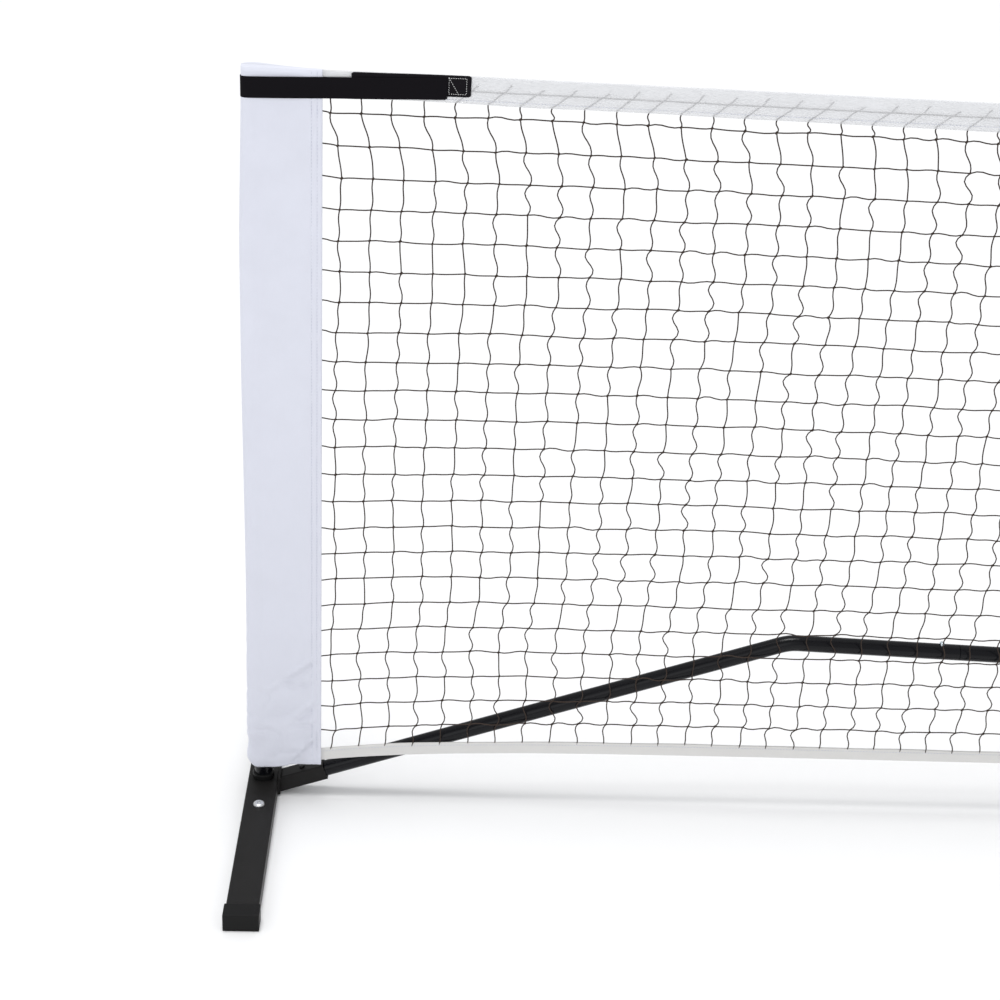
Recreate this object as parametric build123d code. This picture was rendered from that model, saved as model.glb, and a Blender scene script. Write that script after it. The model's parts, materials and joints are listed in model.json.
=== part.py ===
"""Portable court net on a black steel frame: two end feet with posts, one centre foot, a plugged
tube run near the floor, and a bound net whose end sleeves slip over the posts.

Millimetres, +Z up. X runs along the net, the net hangs on the -Y side of the tubes, and the origin
is on the floor under the middle. Each piece of the left half is mirrored to give the right half.
"""

from build123d import *
from math import acos, atan2, cos, degrees, exp, hypot, radians, sin, tan
import os

# Overall sizes
POST_SPACING = 6706.0  # between the two post axes
NET_HEIGHT = 915.0  # top of the sleeves above the floor
FOOT_LENGTH = 554.0  # over the end caps

# Feet
FOOT_WIDTH = 38.0
FOOT_HEIGHT = 19.0
FOOT_WALL = 1.5
FOOT_CORNER = 2.0
CAP_WALL = 1.6
CAP_LENGTH = 22.0
CAP_CORNER = 1.2
CAP_FIT = 0.1  # gap between a cap and the tube inside it
PLATE_THICKNESS = 5.0
PLATE_SIDE_GAP = 0.5
SCREW_PITCH = 126.0  # between the two screws of a foot
SCREW_HEAD_DIAMETER = 14.0
SCREW_HEAD_HEIGHT = 3.6
SCREW_SHANK_DIAMETER = 8.0
SCREW_LENGTH = 12.0
SCREW_HEX = 5.0
SCREW_HEX_DEPTH = 2.2
SCREW_FIT = 0.05
SCREW_PLATE_MARGIN = 14.0  # plate beyond each screw

# Posts
POST_DIAMETER = 22.0
POST_WALL = 1.5
SPIGOT_FIT = 0.3  # radial gap between a post and its spigot
SPIGOT_WALL = 2.0
SPIGOT_RISE = 130.0
COLLAR_DIAMETER = 27.0
COLLAR_HEIGHT = 8.0
COLLAR_ROUND = 2.0
POST_CAP_THICKNESS = 3.0
POST_CAP_PLUG = 15.0
POST_CAP_FIT = 0.1

# Tube run
TUBE_DIAMETER = 20.0
TUBE_WALL = 1.2
PLUG_FIT = 0.3  # radial gap between a plugged end and the tube around it
PLUG_LENGTH = 45.0
PLUG_GROOVE = 0.8
INCLINE = 19.4  # degrees, of the end tube
BEND_HEIGHT = 235.0
BEND_RADIUS = 60.0
BENT_REACH = 862.0  # from the post axis to the end of the bent tube
HUB_HEIGHT = 135.0
HUB_ARM = 36.0
RUN_TUBES = 3  # straight tubes in each half
UPRIGHT_DIAMETER = 20.0
UPRIGHT_WALL = 1.5

# Sockets on the end feet
SOCKET_FIT = 0.5  # gap between a socket's flat sides and the plug inside it
SOCKET_WALL = 1.5
SOCKET_CORNER = 1.5
SOCKET_MOUTH_X = 78.5
SOCKET_MOUTH_Z = 34.0
SOCKET_PLUG_LENGTH = 50.0
SOCKET_PLATE_THICKNESS = 3.0
SOCKET_PLATE_WIDTH = 30.0
SOCKET_PLATE_MARGIN = 1.5  # plate beyond the socket, above and below

# Snap buttons
BUTTON_DIAMETER = 6.4
BUTTON_HOLE_FIT = 0.4
BUTTON_FLANGE_DIAMETER = 9.0
BUTTON_FLANGE_THICKNESS = 1.5
BUTTON_FLANGE_DROP = 0.35  # below the height at which the flange would touch the bore
BUTTON_PROUD = 3.5
BUTTON_DOME = 1.6
BUTTON_BACK = 22.0  # from a tube joint to its button
SOCKET_BUTTON_BACK = 28.0
CLIP_THICKNESS = 0.6
CLIP_WIDTH = 5.0
CLIP_LENGTH = 26.0
CLIP_GAP = 0.25

# Net, bindings and sleeves
NET_CLEARANCE = 0.8  # between the bottom binding and the tubes behind it
NET_THICKNESS = 1.4
TOP_SAG = 20.0
TOP_TAPE_HEIGHT = 26.0
TOP_TAPE_THICKNESS = 3.0
BOTTOM_TAPE_HEIGHT = 16.5
BOTTOM_TAPE_THICKNESS = 2.4
BOTTOM_TAPE_LEVEL = 94.0
BOTTOM_TAPE_DIP = 22.0  # lower at the sleeves than at its level stretch
BOTTOM_TAPE_DIP_LENGTH = 150.0
BOTTOM_SAG = 10.0
SLEEVE_BOTTOM = 49.0
SLEEVE_CLOTH = 1.2
SLEEVE_SLACK = 1.0
SEAM_REACH = 73.0  # from the post axis to the sleeve's seam
SEAM_THICKNESS = 3.2

# Straps
STRAP_WIDTH = 22.5
STRAP_THICKNESS = 1.6
STRAP_GAP = 0.4  # between the strap and what it lies on
STRAP_REACH = 204.0
STRAP_BACK_REACH = 112.0
STRAP_DROP = 20.0  # from the top of the sleeves to the middle of the strap, at the post
STRAP_RISE = 1.74  # degrees
TAB_START = 104.0
TAB_END = 229.0
TAB_THICKNESS = 1.5
TAB_LIFT = 2.6  # higher than the strap

# Worked out from the sizes above
HALF_SPAN = POST_SPACING / 2
FOOT_BASE = CAP_WALL + CAP_FIT
FOOT_TOP = FOOT_BASE + FOOT_HEIGHT
POST_RADIUS = POST_DIAMETER / 2
POST_BORE = POST_RADIUS - POST_WALL
SPIGOT_RADIUS = POST_BORE - SPIGOT_FIT
TUBE_RADIUS = TUBE_DIAMETER / 2
TUBE_BORE = TUBE_RADIUS - TUBE_WALL
PLUG_RADIUS = TUBE_BORE - PLUG_FIT
PLUG_BORE = PLUG_RADIUS - TUBE_WALL
SOCKET_SIDE = 2 * (PLUG_RADIUS + SOCKET_FIT + SOCKET_WALL)
SLEEVE_INNER = POST_RADIUS + SLEEVE_SLACK
SLEEVE_OUTER = SLEEVE_INNER + SLEEVE_CLOTH
POST_BASE = FOOT_TOP + COLLAR_HEIGHT
POST_TOP = NET_HEIGHT - SLEEVE_CLOTH - SLEEVE_SLACK - POST_CAP_THICKNESS
NET_Y = -(max(TUBE_DIAMETER, UPRIGHT_DIAMETER) / 2 + NET_CLEARANCE + BOTTOM_TAPE_THICKNESS / 2)
BEND_X = SOCKET_MOUTH_X + (BEND_HEIGHT - SOCKET_MOUTH_Z) / tan(radians(INCLINE))
RUN_FALL = degrees(atan2(BEND_HEIGHT - HUB_HEIGHT, HALF_SPAN - BEND_X))

CURVE_STEPS = 24
PARTS = "parts"


def post_x(distance):
    """X of a place that is this far from the left post's axis."""
    return distance - HALF_SPAN


def save(name, shape):
    """Write one piece, named after its node."""
    export_step(shape, os.path.join(PARTS, f"{name}.step"))


def save_pair(name, shape):
    """Write a piece of the left half and its mirror image."""
    save(f"left_{name}", shape)
    save(f"right_{name}", mirror(shape, about=Plane.YZ))


def cylinder(radius, low, high, x=0.0, y=0.0):
    """An upright cylinder between two heights."""
    return Pos(x, y, low) * Cylinder(
        radius, high - low, align=(Align.CENTER, Align.CENTER, Align.MIN)
    )


def box(x0, x1, y0, y1, z0, z1):
    """A box from its lowest to its highest corner."""
    return Pos((x0 + x1) / 2, (y0 + y1) / 2, (z0 + z1) / 2) * Box(x1 - x0, y1 - y0, z1 - z0)


def along(x, z, angle):
    """A plane on a tube's axis: its x runs along the tube and its z points up out of it."""
    turn = radians(angle)
    return Plane(origin=(x, 0, z), x_dir=(cos(turn), 0, sin(turn)), z_dir=(-sin(turn), 0, cos(turn)))


# ---------------------------------------------------------------- feet


def foot_tube(holes):
    """The rectangular tube of a foot, with holes in its top wall: (y, radius) each."""
    reach = FOOT_LENGTH / 2 - CAP_WALL - CAP_FIT
    outer = extrude(Plane.XZ * RectangleRounded(FOOT_WIDTH, FOOT_HEIGHT, FOOT_CORNER), reach, both=True)
    inner = extrude(
        Plane.XZ
        * RectangleRounded(
            FOOT_WIDTH - 2 * FOOT_WALL, FOOT_HEIGHT - 2 * FOOT_WALL, FOOT_CORNER - FOOT_WALL
        ),
        reach + 1,
        both=True,
    )
    tube = Pos(0, 0, FOOT_BASE + FOOT_HEIGHT / 2) * (outer - inner)
    for y, radius in holes:
        tube -= cylinder(radius, FOOT_TOP - 2 * FOOT_WALL, FOOT_TOP + 1, 0, y)
    return tube


def foot_cap(side):
    """A moulded end cap that the foot's tube slides into; side is -1 for the front."""
    gap = CAP_WALL + CAP_FIT
    width = FOOT_WIDTH + 2 * gap
    height = FOOT_HEIGHT + 2 * gap
    shell = Pos(0, FOOT_LENGTH / 2 - CAP_LENGTH / 2, height / 2) * Box(width, CAP_LENGTH, height)
    shell = fillet(shell.edges(), CAP_CORNER)
    pocket = Plane.XZ * RectangleRounded(
        FOOT_WIDTH + 2 * CAP_FIT, FOOT_HEIGHT + 2 * CAP_FIT, FOOT_CORNER + CAP_FIT
    )
    pocket = extrude(pocket, -(FOOT_LENGTH / 2 - CAP_WALL))
    cap = shell - Pos(0, 0, height / 2) * pocket
    return cap if side > 0 else mirror(cap, about=Plane.XZ)


def foot_plate(bore):
    """The tapped bar inside the foot that the screws pull up against its top wall."""
    width = FOOT_WIDTH - 2 * FOOT_WALL - 2 * PLATE_SIDE_GAP
    reach = SCREW_PITCH / 2 + SCREW_PLATE_MARGIN
    top = FOOT_TOP - FOOT_WALL
    plate = box(-width / 2, width / 2, -reach, reach, top - PLATE_THICKNESS, top)
    plate -= cylinder(bore, top - PLATE_THICKNESS - 1, top + 1)
    for y in (-SCREW_PITCH / 2, SCREW_PITCH / 2):
        plate -= cylinder(SCREW_SHANK_DIAMETER / 2 + SCREW_FIT, top - PLATE_THICKNESS - 1, top + 1, 0, y)
    return plate


def foot_screws():
    """The two button-head screws of a foot, as separate solids."""
    head = cylinder(SCREW_HEAD_DIAMETER / 2, FOOT_TOP, FOOT_TOP + SCREW_HEAD_HEIGHT)
    head = fillet(head.edges().sort_by(Axis.Z)[-1], SCREW_HEAD_HEIGHT * 0.8)
    screw = head + cylinder(SCREW_SHANK_DIAMETER / 2, FOOT_TOP - SCREW_LENGTH, FOOT_TOP)
    recess = extrude(RegularPolygon(SCREW_HEX / 2, 6, major_radius=False), SCREW_HEX_DEPTH)
    screw -= Pos(0, 0, FOOT_TOP + SCREW_HEAD_HEIGHT - SCREW_HEX_DEPTH) * recess
    return Compound([Pos(0, y, 0) * screw for y in (-SCREW_PITCH / 2, SCREW_PITCH / 2)])


def foot_parts(upright_radius):
    """Tube, caps, plate and screws of one foot under an upright of the given radius."""
    screw_hole = SCREW_SHANK_DIAMETER / 2 + SCREW_FIT
    holes = [(0, upright_radius + SCREW_FIT)]
    holes += [(y, screw_hole) for y in (-SCREW_PITCH / 2, SCREW_PITCH / 2)]
    return {
        "foot_tube": foot_tube(holes),
        "foot_cap_front": foot_cap(-1),
        "foot_cap_back": foot_cap(1),
        "foot_plate": foot_plate(upright_radius + SCREW_FIT),
        "foot_screws": foot_screws(),
    }


# ---------------------------------------------------------------- posts


def spigot():
    """The tube that stands in the foot and fills the post's lower end."""
    low = FOOT_TOP - FOOT_WALL - PLATE_THICKNESS
    high = FOOT_TOP + SPIGOT_RISE
    tube = cylinder(SPIGOT_RADIUS, low, high)
    tube = chamfer(tube.edges().sort_by(Axis.Z)[-1], SPIGOT_WALL / 2)
    return tube - cylinder(SPIGOT_RADIUS - SPIGOT_WALL, low - 1, high + 1)


def collar():
    """The ring on the foot that the post stands on."""
    ring = cylinder(COLLAR_DIAMETER / 2, FOOT_TOP, POST_BASE)
    ring = fillet(ring.edges().sort_by(Axis.Z)[-1], COLLAR_ROUND)
    return ring - cylinder(SPIGOT_RADIUS + SCREW_FIT, FOOT_TOP - 1, POST_BASE + 1)


def post():
    return cylinder(POST_RADIUS, POST_BASE, POST_TOP) - cylinder(POST_BORE, POST_BASE - 1, POST_TOP + 1)


def post_cap():
    """The plug in the top of a post."""
    head = cylinder(POST_RADIUS, POST_TOP, POST_TOP + POST_CAP_THICKNESS)
    head = fillet(head.edges().sort_by(Axis.Z)[-1], POST_CAP_THICKNESS / 2)
    return head + cylinder(POST_BORE - POST_CAP_FIT, POST_TOP - POST_CAP_PLUG, POST_TOP)


# ---------------------------------------------------------------- tube run


def button_hole(plane, back):
    """A cutter for the button hole, back from the joint along the tube."""
    hole = cylinder(BUTTON_DIAMETER / 2 + BUTTON_HOLE_FIT, 0, TUBE_DIAMETER, -back)
    return plane.location * hole


def straight_tube(plane, length, plug_length, back):
    """A tube along the plane's x from its joint, with a reduced end that plugs in behind it."""
    inner_step = PLUG_GROOVE + 2 * TUBE_WALL
    with BuildSketch(Plane.XZ) as half:
        with BuildLine():
            Polyline(
                (-plug_length, PLUG_BORE),
                (-plug_length, PLUG_RADIUS),
                (0, PLUG_RADIUS),
                (PLUG_GROOVE, TUBE_RADIUS),
                (length, TUBE_RADIUS),
                (length, TUBE_BORE),
                (inner_step, TUBE_BORE),
                (PLUG_GROOVE / 2, PLUG_BORE),
                close=True,
            )
        make_face()
    tube = plane.location * revolve(half.sketch, Axis.X)
    return tube - button_hole(plane, back)


def bent_tube():
    """The end tube: plugged into the foot's socket, up the incline, round the bend, along the run."""
    start = along(post_x(SOCKET_MOUTH_X), SOCKET_MOUTH_Z, INCLINE)
    lead = 2 * PLUG_GROOVE + 2 * TUBE_WALL
    stub = straight_tube(start, lead, SOCKET_PLUG_LENGTH, SOCKET_BUTTON_BACK)
    first = start.origin + start.x_dir * lead
    corner = Vector(post_x(BEND_X), 0, BEND_HEIGHT)
    last = run_joint(BENT_REACH).origin
    path = FilletPolyline(first, corner, last, radius=BEND_RADIUS)
    section = Plane(origin=first, x_dir=(0, 1, 0), z_dir=start.x_dir)
    outer = sweep(section * Circle(TUBE_RADIUS), path=path)
    inner = sweep(section * Circle(TUBE_BORE), path=path)
    return stub + (outer - inner) - button_hole(run_joint(BENT_REACH), BUTTON_BACK)


def run_joint(distance):
    """The plane of a joint in the run, this far from the post's axis."""
    fall = tan(radians(RUN_FALL)) * (distance - BEND_X)
    return along(post_x(distance), BEND_HEIGHT - fall, -RUN_FALL)


def run_joints():
    """Distances from the post's axis to each joint of the run; the last is the hub's."""
    last = HALF_SPAN - HUB_ARM
    step = (last - BENT_REACH) / RUN_TUBES
    return [BENT_REACH + step * i for i in range(RUN_TUBES + 1)]


def run_tube(index):
    """One straight tube of the left half."""
    start, end = run_joints()[index], run_joints()[index + 1]
    length = (end - start) / cos(radians(RUN_FALL))
    tube = straight_tube(run_joint(start), length, PLUG_LENGTH, BUTTON_BACK)
    return tube - hub_plug_hole(index, end)


def hub_plug_hole(index, end):
    """The hole in a tube's open end for the button of the piece that plugs into it."""
    if index < RUN_TUBES - 1:
        return button_hole(run_joint(end), BUTTON_BACK)
    return button_hole(hub_joint(), BUTTON_BACK)


def hub_joint():
    """The plane of the joint between the last tube and the hub, looking back towards the bend."""
    return run_joint(HALF_SPAN - HUB_ARM)


def hub():
    """The middle piece: two arms that fall towards each other, each plugged into a tube."""
    joint = hub_joint()
    arm = HUB_ARM / cos(radians(RUN_FALL)) + TUBE_RADIUS
    left = straight_tube(joint, arm, PLUG_LENGTH, BUTTON_BACK)
    left = left & box(-HALF_SPAN, 0, -TUBE_DIAMETER, TUBE_DIAMETER, 0, NET_HEIGHT)
    return left + mirror(left, about=Plane.YZ)


def upright():
    """The short tube that carries the hub, coped to it."""
    low = FOOT_TOP - FOOT_WALL - PLATE_THICKNESS
    radius = UPRIGHT_DIAMETER / 2
    tube = cylinder(radius, low, HUB_HEIGHT) - cylinder(radius - UPRIGHT_WALL, low - 1, HUB_HEIGHT + 1)
    joint = hub_joint()
    saddle = joint.location * Rot(0, 90, 0) * Cylinder(TUBE_RADIUS, 4 * HUB_ARM)
    return tube - saddle - mirror(saddle, about=Plane.YZ)


# ---------------------------------------------------------------- sockets


def socket():
    """The square tube on the foot's side that holds the bent tube's lower end."""
    mouth = along(post_x(SOCKET_MOUTH_X), SOCKET_MOUTH_Z, INCLINE)
    length = SOCKET_MOUTH_X / cos(radians(INCLINE))
    side = SOCKET_SIDE - 2 * SOCKET_WALL
    section = Plane(origin=(0, 0, 0), x_dir=(0, 1, 0), z_dir=(-1, 0, 0))
    outer = extrude(section * RectangleRounded(SOCKET_SIDE, SOCKET_SIDE, SOCKET_CORNER), length)
    inner = extrude(section * Rectangle(side, side), length + 1)
    inner += extrude(section * Rectangle(side, side), -1)
    tube = mouth.location * (outer - inner)
    tube -= button_hole(mouth, SOCKET_BUTTON_BACK)
    foot_face = post_x(FOOT_WIDTH / 2 + SOCKET_PLATE_THICKNESS)
    return tube & box(foot_face, 0, -SOCKET_SIDE, SOCKET_SIDE, 0, NET_HEIGHT)


def socket_plate():
    """The plate between the foot's side and the socket."""
    x0 = post_x(FOOT_WIDTH / 2)
    x1 = x0 + SOCKET_PLATE_THICKNESS
    middle = SOCKET_MOUTH_Z - (SOCKET_MOUTH_X - FOOT_WIDTH / 2) * tan(radians(INCLINE))
    half = SOCKET_SIDE / 2 / cos(radians(INCLINE))
    z0 = max(middle - half - SOCKET_PLATE_MARGIN, FOOT_BASE)
    z1 = middle + half + 2 * SOCKET_PLATE_MARGIN
    plate = box(x0, x1, -SOCKET_PLATE_WIDTH / 2, SOCKET_PLATE_WIDTH / 2, z0, z1)
    return fillet(plate.edges().filter_by(Axis.X), SOCKET_CORNER)


# ---------------------------------------------------------------- snap buttons


def flange_top():
    """Height above the tube's axis at which the flange stops under the bore."""
    half = BUTTON_FLANGE_DIAMETER / 2
    return (PLUG_BORE**2 - half**2) ** 0.5 - BUTTON_FLANGE_DROP


def snap_button(plane, back):
    """A domed pin with a flange that keeps it inside the tube."""
    base = flange_top() - BUTTON_FLANGE_THICKNESS
    pin = cylinder(BUTTON_DIAMETER / 2, base, TUBE_RADIUS + BUTTON_PROUD, -back)
    pin = fillet(pin.edges().sort_by(Axis.Z)[-1], BUTTON_DOME)
    return plane.location * (pin + cylinder(BUTTON_FLANGE_DIAMETER / 2, base, flange_top(), -back))


def clip(plane, back):
    """The folded leaf spring behind a button: one leg under the flange, one along the bore."""
    upper = flange_top() - BUTTON_FLANGE_THICKNESS - CLIP_THICKNESS / 2 - CLIP_GAP
    lower = -((PLUG_BORE**2 - (CLIP_WIDTH / 2) ** 2) ** 0.5) + CLIP_THICKNESS / 2 + CLIP_GAP
    front = BUTTON_DIAMETER / 2
    fold = (upper - lower) / 4
    with BuildSketch(Plane.XZ) as strip:
        with BuildLine() as leaf:
            FilletPolyline(
                (front, upper),
                (-front, upper),
                (-CLIP_LENGTH, (upper + lower) / 2 + fold),
                (-CLIP_LENGTH, lower),
                (front, lower),
                radius=fold / 2,
            )
        trace(line_width=CLIP_THICKNESS)
    spring = extrude(strip.sketch, CLIP_WIDTH / 2, both=True)
    return plane.location * Pos(-back, 0, 0) * spring


def button_places():
    """Name, plane and distance back from the joint of each button in the left half."""
    places = [("socket", along(post_x(SOCKET_MOUTH_X), SOCKET_MOUTH_Z, INCLINE), SOCKET_BUTTON_BACK)]
    for index, distance in enumerate(run_joints()[:-1]):
        places.append((f"joint_{index + 1}", run_joint(distance), BUTTON_BACK))
    places.append(("hub", hub_joint(), BUTTON_BACK))
    return places


# ---------------------------------------------------------------- net


def sag(distance, depth):
    """How far a line tied at both posts hangs below its ends."""
    return depth * (1 - (1 - distance / HALF_SPAN) ** 2)


def top_line(distance):
    """Height of the top binding's upper edge."""
    return NET_HEIGHT - sag(distance, TOP_SAG)


def bottom_line(distance):
    """Height of the bottom binding's upper edge: lowest where it meets the sleeve."""
    dip = BOTTOM_TAPE_DIP * exp(-(distance - SEAM_REACH) / BOTTOM_TAPE_DIP_LENGTH)
    return BOTTOM_TAPE_LEVEL - dip - sag(distance, BOTTOM_SAG)


def band(upper, lower, thickness):
    """A flat strip between two height rules, from seam to seam, in the plane of the netting."""
    reach = HALF_SPAN - SEAM_REACH
    steps = []
    for i in range(CURVE_STEPS + 1):
        spread = sin(radians(90 * (1 - i / CURVE_STEPS)))
        steps.append(-reach * spread)
    steps += [-x for x in reversed(steps[:-1])]

    def edge(rule):
        return [(x, rule(HALF_SPAN - abs(x))) for x in steps]

    high, low = edge(upper), edge(lower)
    with BuildSketch(Plane.XZ) as face:
        with BuildLine():
            Spline(*high)
            Line(high[-1], low[-1])
            Spline(*reversed(low))
            Line(low[0], high[0])
        make_face()
    return Pos(0, NET_Y, 0) * extrude(face.sketch, thickness / 2, both=True)


def top_tape():
    return band(top_line, lambda d: top_line(d) - TOP_TAPE_HEIGHT, TOP_TAPE_THICKNESS)


def netting():
    """The knotted panel as one thin sheet between the two bindings."""
    return band(lambda d: top_line(d) - TOP_TAPE_HEIGHT, bottom_line, NET_THICKNESS)


def bottom_tape():
    return band(bottom_line, lambda d: bottom_line(d) - BOTTOM_TAPE_HEIGHT, BOTTOM_TAPE_THICKNESS)


def pocket(radius, seam_radius, seam_x, low, high):
    """The upright shape of a sleeve: round about the post, drawn out to its seam."""
    with BuildLine() as rings:
        CenterArc((0, 0), radius, 0, 360)
        CenterArc((seam_x, NET_Y), seam_radius, 0, 360)
    with BuildSketch() as outline:
        make_hull(rings.line.edges())
    return Pos(post_x(0), 0, low) * extrude(outline.sketch, high - low)


def sleeve():
    """The cloth pocket over a post, open below and sewn shut on top."""
    half = SEAM_THICKNESS / 2
    outer = pocket(SLEEVE_OUTER, half, SEAM_REACH - half, SLEEVE_BOTTOM, NET_HEIGHT)
    inner = pocket(
        SLEEVE_INNER,
        half - SLEEVE_CLOTH,
        SEAM_REACH - 3 * SEAM_THICKNESS,
        SLEEVE_BOTTOM - 1,
        NET_HEIGHT - SLEEVE_CLOTH,
    )
    return outer - inner


# ---------------------------------------------------------------- straps


def strap():
    """The webbing strap: sewn behind the top binding, round the sleeve and forward over the tab."""
    wrap = SLEEVE_OUTER + STRAP_GAP + STRAP_THICKNESS / 2
    tape_front = NET_Y - TOP_TAPE_THICKNESS / 2
    tape_back = NET_Y + TOP_TAPE_THICKNESS / 2
    front = tape_front - TAB_THICKNESS - STRAP_GAP - STRAP_THICKNESS / 2
    back = tape_back + STRAP_GAP + STRAP_THICKNESS / 2
    seam = min(-wrap, NET_Y - SEAM_THICKNESS / 2 - STRAP_THICKNESS / 2)
    turn = SEAM_REACH + STRAP_THICKNESS
    lean = atan2(back, turn) + acos(wrap / hypot(turn, back))
    touch = (wrap * cos(lean), wrap * sin(lean))
    with BuildSketch() as outline:
        with BuildLine():
            Polyline((STRAP_BACK_REACH, back), (turn, back), touch)
            ThreePointArc(touch, (-wrap, 0), (0, -wrap))
            Polyline(
                (0, -wrap),
                (SEAM_REACH - SEAM_THICKNESS / 2, seam),
                (SEAM_REACH, seam),
                (TAB_START - TAB_THICKNESS, front),
                (STRAP_REACH, front),
            )
        trace(line_width=STRAP_THICKNESS)
    return at_strap(extrude(outline.sketch, STRAP_WIDTH / 2, both=True), 0)


def strap_tab():
    """The base tab sewn on the front of the top binding, with a rounded end."""
    front = NET_Y - TOP_TAPE_THICKNESS / 2
    with BuildSketch(Plane.XZ) as outline:
        with Locations(((TAB_START + TAB_END) / 2, 0)):
            RectangleRounded(TAB_END - TAB_START, STRAP_WIDTH, TAB_THICKNESS)
    tab = Pos(0, front, 0) * extrude(outline.sketch, TAB_THICKNESS)
    return at_strap(tab, TAB_LIFT)


def at_strap(shape, lift):
    """Set a strap's piece at its height and slope at the left post."""
    return Pos(post_x(0), 0, NET_HEIGHT - STRAP_DROP + lift) * Rot(0, -STRAP_RISE, 0) * shape


# ---------------------------------------------------------------- assembly


def make_ends():
    for name, shape in foot_parts(SPIGOT_RADIUS).items():
        save_pair(name, Pos(post_x(0), 0, 0) * shape)
    for name, shape in (
        ("post_spigot", spigot()),
        ("post_collar", collar()),
        ("post_tube", post()),
        ("post_cap", post_cap()),
    ):
        save_pair(name, Pos(post_x(0), 0, 0) * shape)
    save_pair("tube_socket", socket())
    save_pair("socket_plate", socket_plate())
    save_pair("bent_tube", bent_tube())
    save_pair("sleeve", sleeve())
    save_pair("strap", strap())
    save_pair("strap_tab", strap_tab())


def make_run():
    for index in range(RUN_TUBES):
        save_pair(f"run_tube_{index + 1}", run_tube(index))
    save("centre_hub", hub())
    save("centre_upright", upright())
    for name, shape in foot_parts(UPRIGHT_DIAMETER / 2).items():
        save(f"centre_{name}", shape)


def make_buttons():
    clips = []
    for name, plane, back in button_places():
        save_pair(f"button_{name}", snap_button(plane, back))
        leaf = clip(plane, back)
        clips += [leaf, mirror(leaf, about=Plane.YZ)]
    save("button_clips", Compound(clips))


def make_net():
    save("top_tape", top_tape())
    save("netting", netting())
    save("bottom_tape", bottom_tape())


os.makedirs(PARTS, exist_ok=True)
make_ends()
make_run()
make_buttons()
make_net()
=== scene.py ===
"""Looks of a portable court net: knotted twine, folded cloth bindings, post sleeves, hook-and-loop
straps, stitching and weld beads around the fixed frame, and a finish for every part of it.

Metres, +Z up. X runs along the net and the netting hangs on the -Y side of the tubes.
"""

import json
import math

import bmesh
import bpy
import numpy as np
from bpy.props import FloatProperty, FloatVectorProperty, IntProperty, PointerProperty
from mathutils import Matrix, Vector, noise


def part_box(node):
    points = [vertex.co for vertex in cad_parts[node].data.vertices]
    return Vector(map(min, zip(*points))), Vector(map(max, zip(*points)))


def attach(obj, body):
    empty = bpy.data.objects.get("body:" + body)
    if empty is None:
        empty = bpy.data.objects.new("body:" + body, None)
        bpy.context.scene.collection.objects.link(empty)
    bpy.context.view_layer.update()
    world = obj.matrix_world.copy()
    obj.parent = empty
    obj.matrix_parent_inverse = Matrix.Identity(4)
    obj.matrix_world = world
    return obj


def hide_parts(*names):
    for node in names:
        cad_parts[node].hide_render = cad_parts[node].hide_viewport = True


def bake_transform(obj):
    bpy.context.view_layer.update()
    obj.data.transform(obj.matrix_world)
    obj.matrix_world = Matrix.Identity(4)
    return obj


bl_info = {
    "name": "Portable court net",
    "version": (1, 0, 0),
    "blender": (4, 5, 0),
    "location": "3D View > Sidebar > Court net",
    "description": "Netting, cloth, webbing and finishes around the frame of a portable court net",
    "category": "Add Mesh",
}

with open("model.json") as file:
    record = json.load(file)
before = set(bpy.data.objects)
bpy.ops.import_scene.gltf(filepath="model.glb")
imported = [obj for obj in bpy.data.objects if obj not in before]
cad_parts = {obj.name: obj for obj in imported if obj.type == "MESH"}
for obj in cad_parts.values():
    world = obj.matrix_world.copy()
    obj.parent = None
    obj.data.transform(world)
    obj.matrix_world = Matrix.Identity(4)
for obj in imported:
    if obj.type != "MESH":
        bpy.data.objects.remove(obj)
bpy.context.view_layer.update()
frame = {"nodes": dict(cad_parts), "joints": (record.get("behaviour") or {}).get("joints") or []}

FRAME_BODY = "frame"
STRAP_WIDTH = 0.0225
LEFT, RIGHT = 1, -1
SIDES = ((LEFT, "left"), (RIGHT, "right"))


# ---------------------------------------------------------------- measures read from the frame


def middle(box, axis):
    return (box[0][axis] + box[1][axis]) / 2


POST_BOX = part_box("right_post_tube")
HALF = middle(POST_BOX, 0)
SLEEVE_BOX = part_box("left_sleeve")
SEAM = SLEEVE_BOX[1].x + HALF
SLEEVE_BOTTOM = SLEEVE_BOX[0].z
SLEEVE_TOP = SLEEVE_BOX[1].z
WRAP_RADIUS = SLEEVE_BOX[1].y
NET_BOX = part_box("netting")
NET_Y = middle(NET_BOX, 1)
TOP_TAPE_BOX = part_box("top_tape")
BOTTOM_TAPE_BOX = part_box("bottom_tape")
STRAP_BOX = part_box("left_strap")
TAB_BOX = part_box("left_strap_tab")


class Edge:
    """The upper or lower edge of the netting, as a height for each X."""

    def __init__(self, upper):
        points = np.array([v.co for v in frame["nodes"]["netting"].data.vertices])
        halfway = middle(NET_BOX, 2)
        kept = points[(points[:, 2] > halfway) == upper]
        kept = kept[np.argsort(kept[:, 0])]
        self.x, self.z = kept[:, 0], kept[:, 2]

    def __call__(self, x):
        return float(np.interp(x, self.x, self.z))


TOP_EDGE = Edge(upper=True)
LOW_EDGE = Edge(upper=False)
TOP_TAPE_HEIGHT = TOP_TAPE_BOX[1].z - TOP_EDGE(-HALF)
BOTTOM_TAPE_HEIGHT = LOW_EDGE(-HALF) - BOTTOM_TAPE_BOX[0].z


def at(side, distance):
    """X of a place this far from one side's post, towards the middle."""
    return side * (distance - HALF)


# ---------------------------------------------------------------- settings


def length_setting(name, default, description):
    return FloatProperty(name=name, description=description, default=default, unit="LENGTH")


def colour_setting(name, default, description):
    return FloatVectorProperty(name=name, description=description, default=default, subtype="COLOR")


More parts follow.
